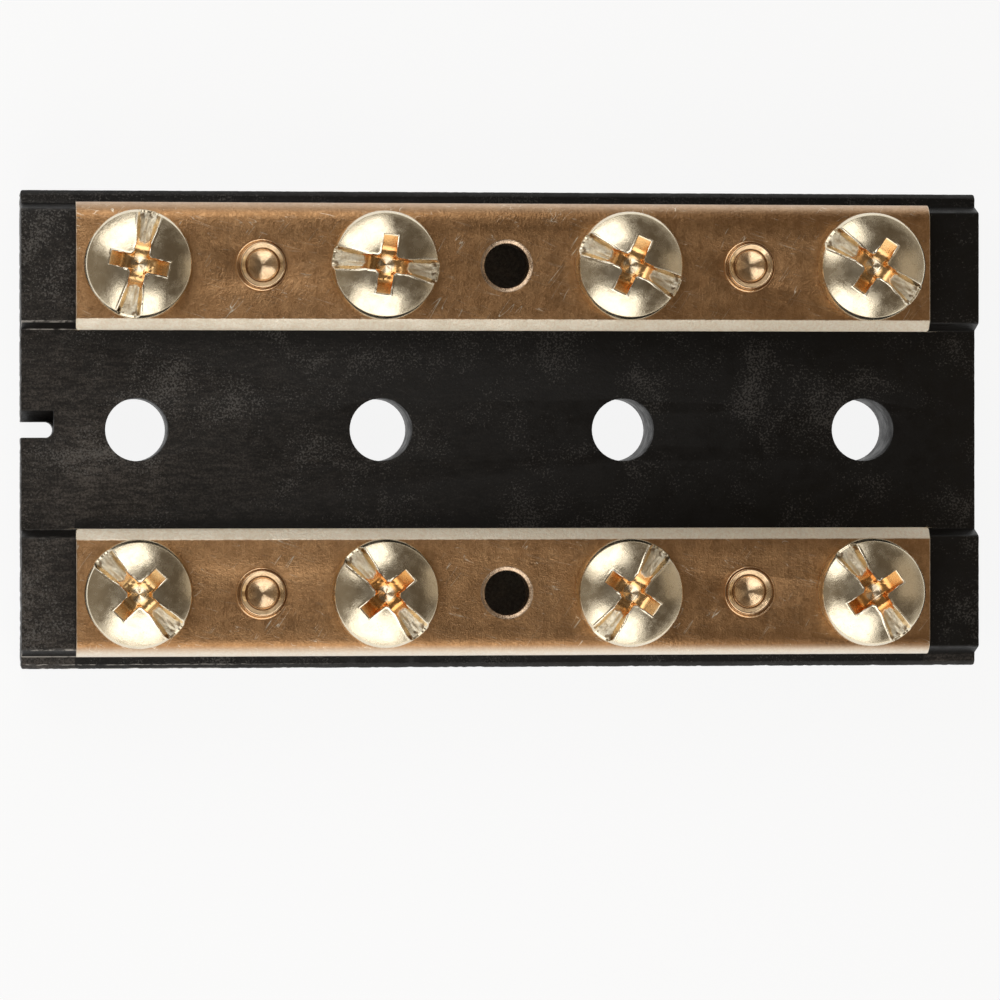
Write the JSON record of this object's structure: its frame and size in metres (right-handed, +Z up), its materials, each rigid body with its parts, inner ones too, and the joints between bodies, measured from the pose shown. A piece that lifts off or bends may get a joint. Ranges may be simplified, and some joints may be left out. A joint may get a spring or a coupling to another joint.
{
  "type": "terminal block",
  "caption": "Moulded black terminal block with two formed brass bus bars on raised rails, rivets, combination-drive terminal screws and through holes for mounting.",
  "frame": {"origin": "middle of the underside", "axes": "+X along the bars towards the end without a notch, +Y towards the back row, +Z up"},
  "size_m": [0.075, 0.0372, 0.0125],
  "materials": {
    "base_moulding": "moulded, dusty and scuffed",
    "bar_brass": "brushed, tarnished",
    "screw_plating": "yellow zinc plate, bright",
    "rivet_copper": "rolled, bright"
  },
  "bodies": {
    "block": {"base": "base_moulding", "back_bus_bar": "bar_brass", "front_bus_bar": "bar_brass", "back_rivet_left": "rivet_copper", "back_rivet_right": "rivet_copper", "front_rivet_left": "rivet_copper", "front_rivet_right": "rivet_copper"},
    "back_screw_1_body": {"back_screw_1": "screw_plating"},
    "back_screw_2_body": {"back_screw_2": "screw_plating"},
    "back_screw_3_body": {"back_screw_3": "screw_plating"},
    "back_screw_4_body": {"back_screw_4": "screw_plating"},
    "front_screw_1_body": {"front_screw_1": "screw_plating"},
    "front_screw_2_body": {"front_screw_2": "screw_plating"},
    "front_screw_3_body": {"front_screw_3": "screw_plating"},
    "front_screw_4_body": {"front_screw_4": "screw_plating"}
  },
  "joints": [
    {"name": "back_screw_1_slide", "type": "slide", "parent": "block", "child": "back_screw_1_body", "axis": [0, 0, 1], "range_m": [0, 0.0045]},
    {"name": "back_screw_2_slide", "type": "slide", "parent": "block", "child": "back_screw_2_body", "axis": [0, 0, 1], "range_m": [0, 0.0045]},
    {"name": "back_screw_3_slide", "type": "slide", "parent": "block", "child": "back_screw_3_body", "axis": [0, 0, 1], "range_m": [0, 0.0045]},
    {"name": "back_screw_4_slide", "type": "slide", "parent": "block", "child": "back_screw_4_body", "axis": [0, 0, 1], "range_m": [0, 0.0045]},
    {"name": "front_screw_1_slide", "type": "slide", "parent": "block", "child": "front_screw_1_body", "axis": [0, 0, 1], "range_m": [0, 0.0045]},
    {"name": "front_screw_2_slide", "type": "slide", "parent": "block", "child": "front_screw_2_body", "axis": [0, 0, 1], "range_m": [0, 0.0045]},
    {"name": "front_screw_3_slide", "type": "slide", "parent": "block", "child": "front_screw_3_body", "axis": [0, 0, 1], "range_m": [0, 0.0045]},
    {"name": "front_screw_4_slide", "type": "slide", "parent": "block", "child": "front_screw_4_body", "axis": [0, 0, 1], "range_m": [0, 0.0045]}
  ]
}
